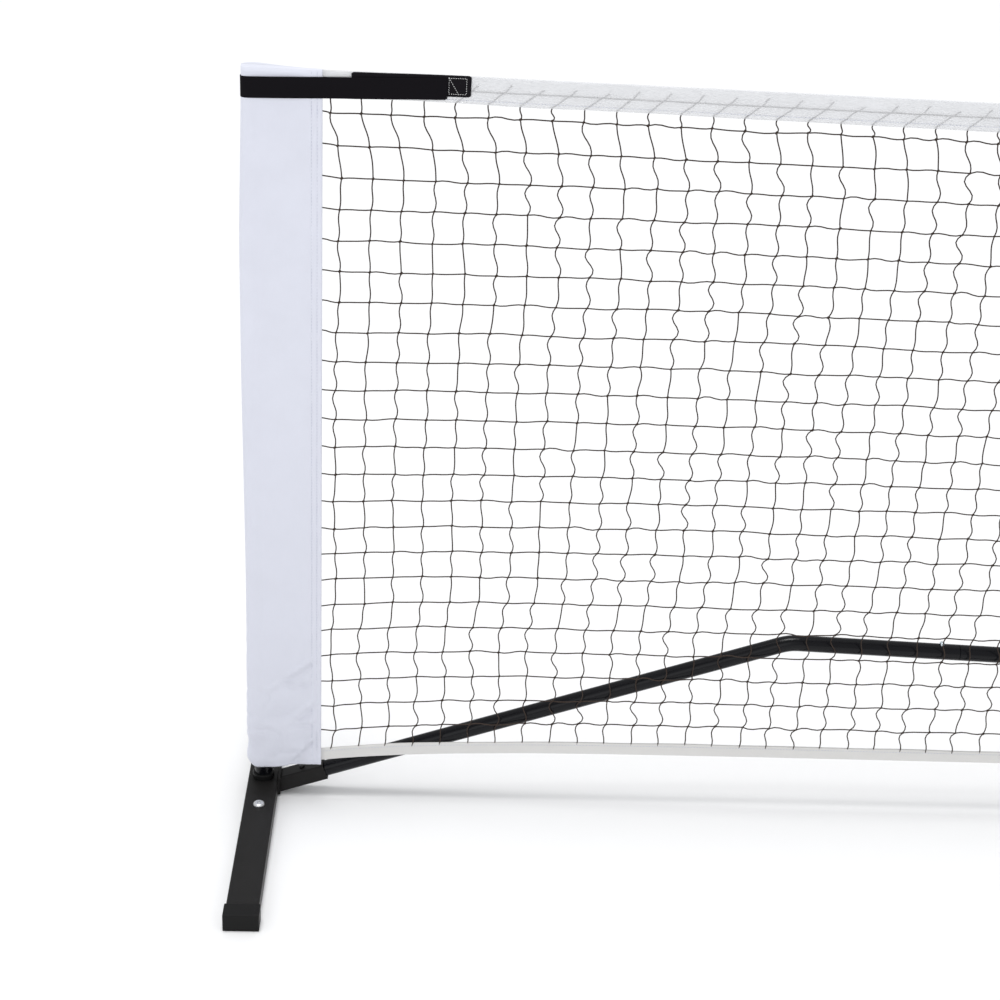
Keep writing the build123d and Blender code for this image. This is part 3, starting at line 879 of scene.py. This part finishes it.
class COURT_NET_OT_bindings(NetOperator, bpy.types.Operator):
    """Fold the top and bottom bindings over the netting's borders"""

    bl_idname = "court_net.bindings"
    bl_label = "Bindings"

    STATION = 0.009  # distance between crosswise outlines
    LEVELS = 9  # steps up each layer
    FOLD_STEPS = 6

    def execute(self, context):
        for name, open_edge, height, box, up in (
            ("top", TOP_EDGE, TOP_TAPE_HEIGHT, TOP_TAPE_BOX, 1),
            ("bottom", LOW_EDGE, BOTTOM_TAPE_HEIGHT, BOTTOM_TAPE_BOX, -1),
        ):
            piece = self.fold(f"{name}_binding", open_edge, height, box[1].y - box[0].y, up)
            paint(piece, self.finish(f"{name}_binding"))
            ride_frame(piece, f"{name}_binding", f"{name}_tape")
            flat = (2 * height, 2 * (HALF - SEAM))
        return {"FINISHED"}

    def fold(self, name, open_edge, height, thick, up):
        """A strip folded over the netting: open where the cords go in, round on the other edge."""
        wall = self.cloth.binding_wall
        reach = HALF - SEAM
        count = round(2 * reach / self.STATION)
        half = thick / 2 - wall / 2
        rows = []
        for i in range(count + 1):
            x = -reach + 2 * reach * i / count
            rows.append(self.section(x, open_edge(x), height, half, up))
        piece = surface(name, rows, flipped=up > 0)
        return thicken(piece, wall, offset=0.0)

    def section(self, x, base, height, half, up):
        """One crosswise outline: up the front layer, over the fold and down the back layer."""
        if up > 0:
            away = HALF - abs(x)
            spread = 0.0020 * eased(away, 0.3, 0.9)
            base -= spread
            height += spread + 0.0015 + 0.0015 * eased(away, 0.08, 0.22)
        flat = height - half
        points = []
        levels = [flat * (k / self.LEVELS) for k in range(self.LEVELS + 1)]
        bend = [math.pi * k / self.FOLD_STEPS for k in range(1, self.FOLD_STEPS)]
        outline = [(-1, level, 0.0) for level in levels]
        outline += [(0, flat, angle) for angle in bend]
        outline += [(1, level, 0.0) for level in reversed(levels)]
        for face, level, angle in outline:
            closing = 0.8 + 0.2 * eased(level, 0.0010, 0.006)
            if face:
                y, z = face * half * closing, level
            else:
                y, z = -half * math.cos(angle), level + half * math.sin(angle)
            slack = 0.0004 * drift(x * 9.0, level * 40.0, seed=31 + up)
            edge = 0.0011 * drift(x * 13.0, 0.3, seed=37 + up) * (1 - eased(level, 0.0, height))
            swell = 0.0006 * drift(x * 4.0, 0.7, seed=41 + up)
            points.append((x, NET_Y + y + slack, base + up * z + edge + swell))
        return points


class COURT_NET_OT_sleeves(NetOperator, bpy.types.Operator):
    """Hang the two cloth sleeves over the posts, with their seams, hems and creases"""

    bl_idname = "court_net.sleeves"
    bl_label = "Sleeves"

    SEAM_FLAP = 0.015  # width of the two layers that are sewn together
    STITCH_LINES = (0.0050, 0.0110)  # in from the seam's edge
    HEM = 0.011
    LAYER = 0.0015  # from the netting to each layer of the flap
    LEVELS = 210
    FLAP_STEPS, WALL_STEPS = 20, 26
    TOP_SHARES = (0.93, 0.8, 0.55, 0.25, 0.0)  # how front and back close at the sewn top
    PULLS = (0.083, 0.112, 0.137, 0.171, 0.198)  # heights at which creases leave the seam
    PULL_DEPTH = 0.0026

    def execute(self, context):
        for side, name in SIDES:
            piece = self.make(side, f"{name}_post_sleeve")
            paint(piece, self.finish("sleeve_cloth"))
            ride_frame(piece, "sleeve_cloth", f"{name}_sleeve")
        return {"FINISHED"}

    def make(self, side, name):
        rows = []
        height = SLEEVE_TOP - SLEEVE_BOTTOM
        for i in range(self.LEVELS + 1):
            share = (i / self.LEVELS) ** 1.12
            rows.append(self.ring(side, SLEEVE_BOTTOM + height * share, 1.0))
        for share in self.TOP_SHARES:
            rows.append(self.ring(side, SLEEVE_TOP + 0.0010 * (1 - share), share))
        piece = surface(name, rows, wrapped=True)
        weld_seams(piece)
        return thicken(piece, self.cloth.sleeve_wall)

    def outline(self, z):
        """Plan of the pocket at a height: (distance, y, outward x, outward y) round the loop."""
        bulge = self.cloth.sleeve_bulge * eased(SLEEVE_TOP - z, -0.01, 0.22)
        front = -WRAP_RADIUS + 0.0003
        points = []
        flap = SEAM - self.SEAM_FLAP
        back = NET_Y + self.LAYER
        touch = math.atan2(back, flap) + math.acos(WRAP_RADIUS / math.hypot(flap, back))
        for k in range(self.FLAP_STEPS):
            x = SEAM - self.SEAM_FLAP * k / self.FLAP_STEPS
            points.append((x, NET_Y - self.LAYER, 0.0, -1.0))
        for k in range(self.WALL_STEPS):
            share = k / self.WALL_STEPS
            y = NET_Y - self.LAYER + (front - NET_Y + self.LAYER) * eased(share, 0.0, 0.35)
            points.append((flap * (1 - share), y, 0.0, -1.0))
        for k in range(self.WALL_STEPS + 1):
            angle = -math.pi / 2 - (1.5 * math.pi - touch) * k / self.WALL_STEPS
            x, y = squared(math.cos(angle), math.sin(angle))
            points.append(((WRAP_RADIUS + bulge) * x if x < 0 else WRAP_RADIUS * x, WRAP_RADIUS * y, x, y))
        last_x, last_y = points[-1][:2]
        for k in range(1, self.WALL_STEPS + 1):
            share = k / self.WALL_STEPS
            x = last_x + (flap - last_x) * share
            y = last_y + (back - last_y) * share
            points.append((x, y, 0.25, 0.97))
        for k in range(1, self.FLAP_STEPS + 1):
            x = flap + self.SEAM_FLAP * k / self.FLAP_STEPS
            points.append((x, back, 0.0, 1.0))
        return points

    def ring(self, side, z, spread):
        """The pocket's outline at a height, creased; spread below 1 draws front and back together."""
        points = []
        for distance, y, out_x, out_y in self.outline(z):
            push = self.relief(side, distance, y, z) * spread
            centre = NET_Y + (0.0 - NET_Y) * eased(SEAM - distance, 0.0, SEAM)
            level = z + self.hem_level(side, distance, y) * (1 - eased(z, SLEEVE_BOTTOM, 0.1))
            points.append(
                (at(side, distance + push * out_x), centre + (y + push * out_y - centre) * spread, level)
            )
        return points

    @staticmethod
    def hem_level(side, distance, y):
        """How far the sleeve's lower edge is above its plain height."""
        sag = -0.0052 * (1 - eased(distance, -0.01, 0.075))
        corner = 0.0125 * eased(-distance, 0.004, 0.019) ** 1.6
        return sag + corner + 0.0007 * drift(distance * 45.0, y * 30.0, seed=3 * side)

    def pull(self, distance, z, start):
        """A crease that runs down from the seam towards the post."""
        slope = 0.62 + 0.5 * math.sin(97.0 * start)
        off = (z - start - slope * (distance - SEAM + 0.012)) / math.hypot(1.0, slope)
        width = 0.0028 + 0.0012 * math.sin(61.0 * start)
        fade = eased(distance, SEAM - 0.062 - 0.02 * math.sin(41.0 * start), SEAM - 0.018)
        fade *= 1 - eased(distance, SEAM - 0.016, SEAM - 0.004)
        return self.PULL_DEPTH * fade * (hump(off, 0.0, width) - 0.7 * hump(off, -1.7 * width, width))

    def relief(self, side, distance, y, z):
        """How far the cloth stands out of its plain shape."""
        seed = 11 if side == LEFT else 23
        front = 1.0 if y < 0 else 2.0
        low = 1 - eased(z, SLEEVE_BOTTOM + 0.03, SLEEVE_BOTTOM + 0.26)
        flap = eased(distance, SEAM - 1.6 * self.SEAM_FLAP, SEAM - 0.6 * self.SEAM_FLAP)
        soft = 0.0011 * drift(distance * 14.0, z * 4.5, front, seed)
        slant = distance * 16.0 + z * 9.0
        fold = drift(slant, z * 26.0 - distance * 11.0, front, seed + 1)
        crease = self.cloth.crease * low * (1 - 2 * abs(fold)) * abs(fold) ** 0.5 * (1 - 0.7 * flap)
        crease += sum(self.pull(distance, z, start) for start in self.PULLS)
        pucker = 0.0005 * flap * drift(distance * 60.0, z * 75.0, front, seed + 2)
        groove = sum(hump(SEAM - distance, line, 0.0009) for line in self.STITCH_LINES)
        hem = 0.0005 * (1 - eased(z, SLEEVE_BOTTOM + self.HEM - 0.001, SLEEVE_BOTTOM + self.HEM + 0.001))
        return soft * (1 - 0.8 * flap) + crease + pucker - 0.0004 * groove + hem


class COURT_NET_OT_straps(NetOperator, bpy.types.Operator):
    """Wrap a webbing strap round each sleeve, and shape its base tab, which is sewn to the top binding"""

    bl_idname = "court_net.straps"
    bl_label = "Straps"

    STEP = 0.0025  # distance between crosswise outlines
    SEWN_END = 0.112  # from the post's axis to the strap's end behind the binding

    def execute(self, context):
        thick = TAB_BOX[1].y - TAB_BOX[0].y
        for side, name in SIDES:
            strap = self.ribbon(f"{name}_hook_strap", side, self.strap_route(), thick, self.strap_level)
            paint(strap, self.finish("webbing"))
            ride_frame(strap, "webbing", f"{name}_strap")
            tab = self.ribbon(f"{name}_loop_tab", side, self.tab_route(), thick, self.tab_level)
            paint(tab, self.finish("loop_webbing"))
            ride_frame(tab, "webbing", f"{name}_strap_tab")
        return {"FINISHED"}

    @staticmethod
    def strap_level(x):
        """Height of the strap's middle at a distance from the post."""
        rise = (TAB_BOX[1].z - TAB_BOX[0].z - STRAP_WIDTH) / (TAB_BOX[1].x - TAB_BOX[0].x)
        return middle(TAB_BOX, 2) - 0.0026 + rise * (x - middle(TAB_BOX, 0) - HALF)

    @staticmethod
    def tab_level(x):
        """Height of the tab's middle, which is sewn on less steeply than the strap lies."""
        end = TAB_BOX[1].x + HALF
        return COURT_NET_OT_straps.strap_level(end) + 0.0028 + 0.006 * (x - end)

    def strap_route(self):
        """Plan of the strap from its sewn end behind the binding, round the post, to its front end."""
        wrap = WRAP_RADIUS + 0.0011
        back = NET_Y + 0.0025
        front = TAB_BOX[0].y - 0.0010
        end = STRAP_BOX[1].x + HALF
        turn = SEAM + 0.002
        start = math.atan2(back, turn) + math.acos(wrap / math.hypot(turn, back))
        route = [(self.SEWN_END, back), ((self.SEWN_END + turn) / 2, back), (turn, back)]
        touch_x, touch_y = wrap * math.cos(start), wrap * math.sin(start)
        for share in (0.25, 0.5, 0.75):
            route.append((turn + (touch_x - turn) * share, back + (touch_y - back) * share))
        arc = 26
        for k in range(arc + 1):
            angle = start + (math.radians(270) - start) * k / arc
            x, y = squared(math.cos(angle), math.sin(angle))
            route.append((wrap * x, wrap * y))
        route += [(0.018, -wrap - 0.0004), (0.045, -wrap - 0.0006), (SEAM, -wrap - 0.0002)]
        tab = TAB_BOX[0].x + HALF
        route += [(tab - 0.006, front + 0.0012), (tab + 0.004, front), (tab + 0.05, front), (end, front)]
        return route

    def tab_route(self):
        front = middle(TAB_BOX, 1)
        start, end = TAB_BOX[0].x + HALF, TAB_BOX[1].x + HALF
        return [(start, front), (start + 0.05, front), (end - 0.03, front), (end, front + 0.0002)]

    def smooth(self, route):
        """Evenly spaced points on a rounded line through the route."""
        points = np.array(route)
        lengths = np.concatenate([[0.0], np.cumsum(np.linalg.norm(np.diff(points, axis=0), axis=1))])
        count = max(8, round(lengths[-1] / self.STEP))
        even = np.linspace(0, lengths[-1], count + 1)
        line = np.stack([np.interp(even, lengths, points[:, k]) for k in range(2)], axis=1)
        for _ in range(3):
            line[1:-1] = (line[:-2] + 2 * line[1:-1] + line[2:]) / 4
        return line, even

    def ribbon(self, name, side, route, thick, level):
        """A closed strip of webbing on edge along a plan, with rounded selvedges and ends."""
        line, lengths = self.smooth(route)
        tangent = np.gradient(line, axis=0)
        tangent /= np.linalg.norm(tangent, axis=1, keepdims=True)
        across = np.stack([-tangent[:, 1], tangent[:, 0]], axis=1)
        half = self.cloth.strap_width / 2
        section = self.strip_section(half, thick / 2)
        rows, uvs = [], []
        for i, (x, y) in enumerate(line):
            end = min(lengths[i], lengths[-1] - lengths[i])
            shrink = math.sqrt(max(1 - (1 - min(end / 0.003, 1.0)) ** 2, 0.0)) * 0.12 + 0.88
            wobble = 0.0005 * drift(lengths[i] * 16.0, 0.5, seed=51 + side)
            row = []
            for height, depth in section:
                px = x + across[i, 0] * depth
                py = y + across[i, 1] * depth
                row.append((at(side, px), py, level(x) + wobble + height * shrink))
                uvs.append((lengths[i], height))
            rows.append(row)
        piece = surface(name, rows, wrapped=True, flipped=side > 0)
        self.cap_ends(piece, len(rows), len(section))
        weld_seams(piece, 1e-7)
        self.lay_uv(piece, np.array(uvs))
        return piece

    @staticmethod
    def strip_section(half, depth):
        """Outline across the webbing: two faces and two rounded selvedges."""
        flat = half - depth
        faces = [flat - k * 2 * flat / 8 for k in range(9)]
        bend = [(depth * math.sin(a), depth * math.cos(a)) for a in (0.8, 1.57, 2.34)]
        outline = [(h, depth) for h in faces]
        outline += [(-flat - out, d) for out, d in bend]
        outline += [(h, -depth) for h in reversed(faces)]
        outline += [(flat + out, -d) for out, d in bend]
        return outline

    @staticmethod
    def cap_ends(piece, high, wide):
        """Close a strip's two cut ends."""
        work = bmesh.new()
        work.from_mesh(piece.data)
        work.verts.ensure_lookup_table()
        work.faces.new([work.verts[j] for j in range(wide)])
        work.faces.new([work.verts[(high - 1) * wide + j] for j in reversed(range(wide))])
        work.to_mesh(piece.data)
        work.free()

    @staticmethod
    def lay_uv(piece, uvs):
        """Store (length along, height across) as the piece's UV map, in metres."""
        layer = piece.data.uv_layers.new(name="along")
        for loop in piece.data.loops:
            layer.data[loop.index].uv = uvs[loop.vertex_index]


class COURT_NET_OT_stitching(NetOperator, bpy.types.Operator):
    """Sew the seams, bindings and strap ends"""

    bl_idname = "court_net.stitching"
    bl_label = "Stitching"

    INSET = 0.0035  # from a binding's open edge

    def execute(self, context):
        recipe = bead_recipe()
        sleeves = COURT_NET_OT_sleeves
        heights = np.linspace(SLEEVE_BOTTOM + 0.002, SLEEVE_TOP - 0.003, 60)
        for side, name in SIDES:
            lines = []
            for offset in sleeves.STITCH_LINES:
                for face in (-1, 1):
                    y = NET_Y + face * (sleeves.LAYER + 0.0003)
                    lines.append([(at(side, SEAM - offset), y, z) for z in heights])
            self.sew(f"{name}_seam_stitches", recipe, lines, "pale_thread", "sleeve_cloth")
            self.sew(f"{name}_tab_stitches", recipe, self.box_stitch(side), "white_thread", "webbing")
        reach = HALF - SEAM
        xs = np.linspace(-reach, reach, 400)
        for name, edge, up in (("top", TOP_EDGE, 1), ("bottom", LOW_EDGE, -1)):
            faces = [NET_Y + face * 0.0014 for face in (-1, 1)]
            lines = [[(x, y, edge(x) + up * self.INSET) for x in xs] for y in faces]
            self.sew(f"{name}_binding_stitches", recipe, lines, "pale_thread", "top_binding")
        return {"FINISHED"}

    def box_stitch(self, side):
        """A rectangle with one slanting line across it, near the end of the tab."""
        level = COURT_NET_OT_straps.tab_level
        end = TAB_BOX[1].x + HALF
        x0, x1 = end - 0.0235, end - 0.0050
        half = self.cloth.strap_width / 2 - 0.0030
        y = TAB_BOX[0].y - 0.0001

        def spot(x, h):
            return (at(side, x), y, level(x) + h)

        corners = [spot(x0, half), spot(x1, half), spot(x1, -half), spot(x0, -half), spot(x0, half)]
        return [corners, [spot(x0, half), spot(x0 + 0.55 * (x1 - x0), -half)]]

    def sew(self, name, recipe, lines, thread, slot):
        """Lay stitches along lines of points. White stitches are finer."""
        pitch = self.cloth.stitch_pitch * (0.62 if thread == "white_thread" else 1.0)
        thick = self.cloth.stitch_thread
        values = {
            "Pitch": pitch,
            "Size": (pitch * 0.8, thick, thick),
            "Tilt": 0.0,
            "Material": self.finish(thread),
        }
        ride_frame(grow(name, joined_lines(name, lines), recipe, values), slot)


class COURT_NET_OT_springs(NetOperator, bpy.types.Operator):
    """Set a leaf spring behind each snap button, cut as a piece of its own from the frame's clips"""

    bl_idname = "court_net.springs"
    bl_label = "Button springs"

    REACH = 0.04  # a leaf lies within this of its button along the net
    HINGE = 0.6  # share of a leaf's height that stays with the tube
    PLATE = 0.0007  # depth below a leaf's top that moves with the button

    def execute(self, context):
        for joint in frame["joints"]:
            button = joint["child"]
            piece = self.leaf(button.replace("button", "spring"), middle(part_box(button), 0))
            paint(piece, self.finish("plain_steel"))
            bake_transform(piece)
            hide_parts("button_clips")
        return {"FINISHED"}

    def leaf(self, name, centre):
        """The one of the frame's leaf springs that is nearest to a place along the net."""
        work = bmesh.new()
        work.from_mesh(frame["nodes"]["button_clips"].data)
        others = [v for v in work.verts if abs(v.co.x - centre) > self.REACH]
        bmesh.ops.delete(work, geom=others, context="VERTS")
        bmesh.ops.remove_doubles(work, verts=work.verts, dist=1e-6)
        piece = mesh_object(name, ())
        work.to_mesh(piece.data)
        work.free()
        return piece


class COURT_NET_OT_welds(NetOperator, bpy.types.Operator):
    """Run weld beads down the sockets' plates and round the foot of the centre upright"""

    bl_idname = "court_net.welds"
    bl_label = "Weld beads"

    RIPPLE = (0.0022, 0.0030, 0.0026)

    def execute(self, context):
        recipe = bead_recipe()
        for _, name in SIDES:
            line = self.plate_edge(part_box(f"{name}_socket_plate"), name)
            self.bead(f"{name}_plate_weld", recipe, line)
        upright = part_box("centre_upright")
        radius = (upright[1].x - upright[0].x) / 2
        foot_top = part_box("centre_foot_tube")[1].z
        self.bead("centre_foot_weld", recipe, self.ring(0.0, radius + 0.0006, foot_top + 0.0006))
        return {"FINISHED"}

    @staticmethod
    def plate_edge(plate, name):
        """Down the front edge of a socket's plate, where it meets the foot."""
        x = plate[0].x + 0.0004 if name == "left" else plate[1].x - 0.0004
        levels = np.linspace(plate[0].z + 0.002, plate[1].z - 0.006, 12)
        return [(x, plate[0].y - 0.0002, z) for z in levels]

    @staticmethod
    def ring(x, radius, z):
        turns = np.linspace(0, 2 * math.pi, 49)
        return [(x + radius * math.cos(a), radius * math.sin(a), z) for a in turns]

    def bead(self, name, recipe, line):
        """A row of overlapping ripples along a line."""
        values = {"Pitch": 0.0011, "Size": self.RIPPLE, "Tilt": 0.5, "Material": self.finish("foot_coat")}
        ride_frame(grow(name, joined_lines(name, [line]), recipe, values), "foot_coat")


class COURT_NET_OT_stage(NetOperator, bpy.types.Operator):
    """Set the floor, the soft light and the camera"""

    bl_idname = "court_net.stage"
    bl_label = "Stage"

    EYE = (0.1881, -1.8191, 1.2883)  # from the left post's foot
    PITCH, YAW, ROLL = 25.52, 2.97, 2.98  # degrees: down, to the right, and tilt
    LENS = 61.56  # on a 36 mm sensor
    FLOOR_REACH = 40.0

    def execute(self, context):
        scene = context.scene
        self.make_floor()
        self.make_lights(scene)
        self.make_camera(scene)
        return {"FINISHED"}

    def make_floor(self):
        reach = self.FLOOR_REACH
        corners = [(-reach, -reach, 0.0), (reach, -reach, 0.0), (reach, reach, 0.0), (-reach, reach, 0.0)]
        floor = mesh_object("floor", corners, faces=[(0, 1, 2, 3)])
        paper = Finish("floor_paper")
        grain = paper.grain(paper.place, 0.8, 2.0)
        tint = paper.mixed(grain, (0.93, 0.93, 0.93, 1.0), (0.95, 0.95, 0.95, 1.0))
        paint(floor, paper.set(Base_Color=tint, Roughness=0.9, Specular_IOR_Level=0.1))

    @staticmethod
    def make_lights(scene):
        world = bpy.data.worlds.new("studio")
        world.use_nodes = True
        background = world.node_tree.nodes["Background"]
        background.inputs["Color"].default_value = (0.97, 0.98, 1.0, 1.0)
        background.inputs["Strength"].default_value = 0.62
        scene.world = world
        key = bpy.data.lights.new("key", "SUN")
        key.energy = 1.55
        key.angle = math.radians(20)
        fill = bpy.data.lights.new("fill", "AREA")
        fill.shape = "RECTANGLE"
        fill.size, fill.size_y = 4.0, 3.0
        fill.energy = 34.0
        fill.color = (0.98, 0.99, 1.0)
        place, target = Vector((-4.2, -4.5, 2.4)), Vector((-2.8, 0.0, 0.45))
        for lamp, spot, way in ((key, (0, 0, 0), Vector((0.03, 0.0, -1.0))), (fill, place, target - place)):
            holder = bpy.data.objects.new(lamp.name, lamp)
            holder.location = spot
            holder.rotation_euler = way.to_track_quat("-Z", "Y").to_euler()
            scene.collection.objects.link(holder)
        scene.view_settings.view_transform = "Standard"
        scene.view_settings.look = "None"

    def make_camera(self, scene):
        pitch, yaw, roll = (math.radians(a) for a in (self.PITCH, self.YAW, self.ROLL))
        lens = bpy.data.cameras.new("camera")
        lens.sensor_width = 36.0
        lens.lens = self.LENS
        lens.clip_end = 200.0
        camera = bpy.data.objects.new("camera", lens)
        turn = Matrix.Rotation(-yaw, 4, "Z") @ Matrix.Rotation(math.pi / 2 - pitch, 4, "X")
        turn = turn @ Matrix.Rotation(roll, 4, "Z")
        place = Vector(self.EYE) + Vector((-HALF, 0.0, 0.0))
        camera.matrix_world = Matrix.Translation(place) @ turn
        scene.collection.objects.link(camera)
        scene.camera = camera


class COURT_NET_PT_panel(bpy.types.Panel):
    """Lists the net's operators"""

    bl_label = "Court net"
    bl_idname = "COURT_NET_PT_panel"
    bl_space_type = "VIEW_3D"
    bl_region_type = "UI"
    bl_category = "Court net"

    def draw(self, context):
        for operator in OPERATORS:
            self.layout.operator(operator.bl_idname)


SETTINGS = (
    ("court_net_netting", NettingSettings),
    ("court_net_cloth", ClothSettings),
    ("court_net_finish", FinishSettings),
)
OPERATORS = (
    COURT_NET_OT_stage,
    COURT_NET_OT_finishes,
    COURT_NET_OT_twine,
    COURT_NET_OT_bindings,
    COURT_NET_OT_sleeves,
    COURT_NET_OT_straps,
    COURT_NET_OT_stitching,
    COURT_NET_OT_springs,
    COURT_NET_OT_welds,
)


def register():
    for name, group in SETTINGS:
        bpy.utils.register_class(group)
        setattr(bpy.types.Scene, name, PointerProperty(type=group))
    for cls in (*OPERATORS, COURT_NET_PT_panel):
        bpy.utils.register_class(cls)


def unregister():
    for cls in (COURT_NET_PT_panel, *reversed(OPERATORS)):
        bpy.utils.unregister_class(cls)
    for name, group in reversed(SETTINGS):
        delattr(bpy.types.Scene, name)
        bpy.utils.unregister_class(group)


def plain(box):
    """A box as plain lists of numbers."""
    return [[float(v) for v in corner] for corner in box]


def main():
    register()
    for operator in OPERATORS:
        group, name = operator.bl_idname.split(".")
        getattr(getattr(bpy.ops, group), name)()


if __name__ == "__main__":
    main()
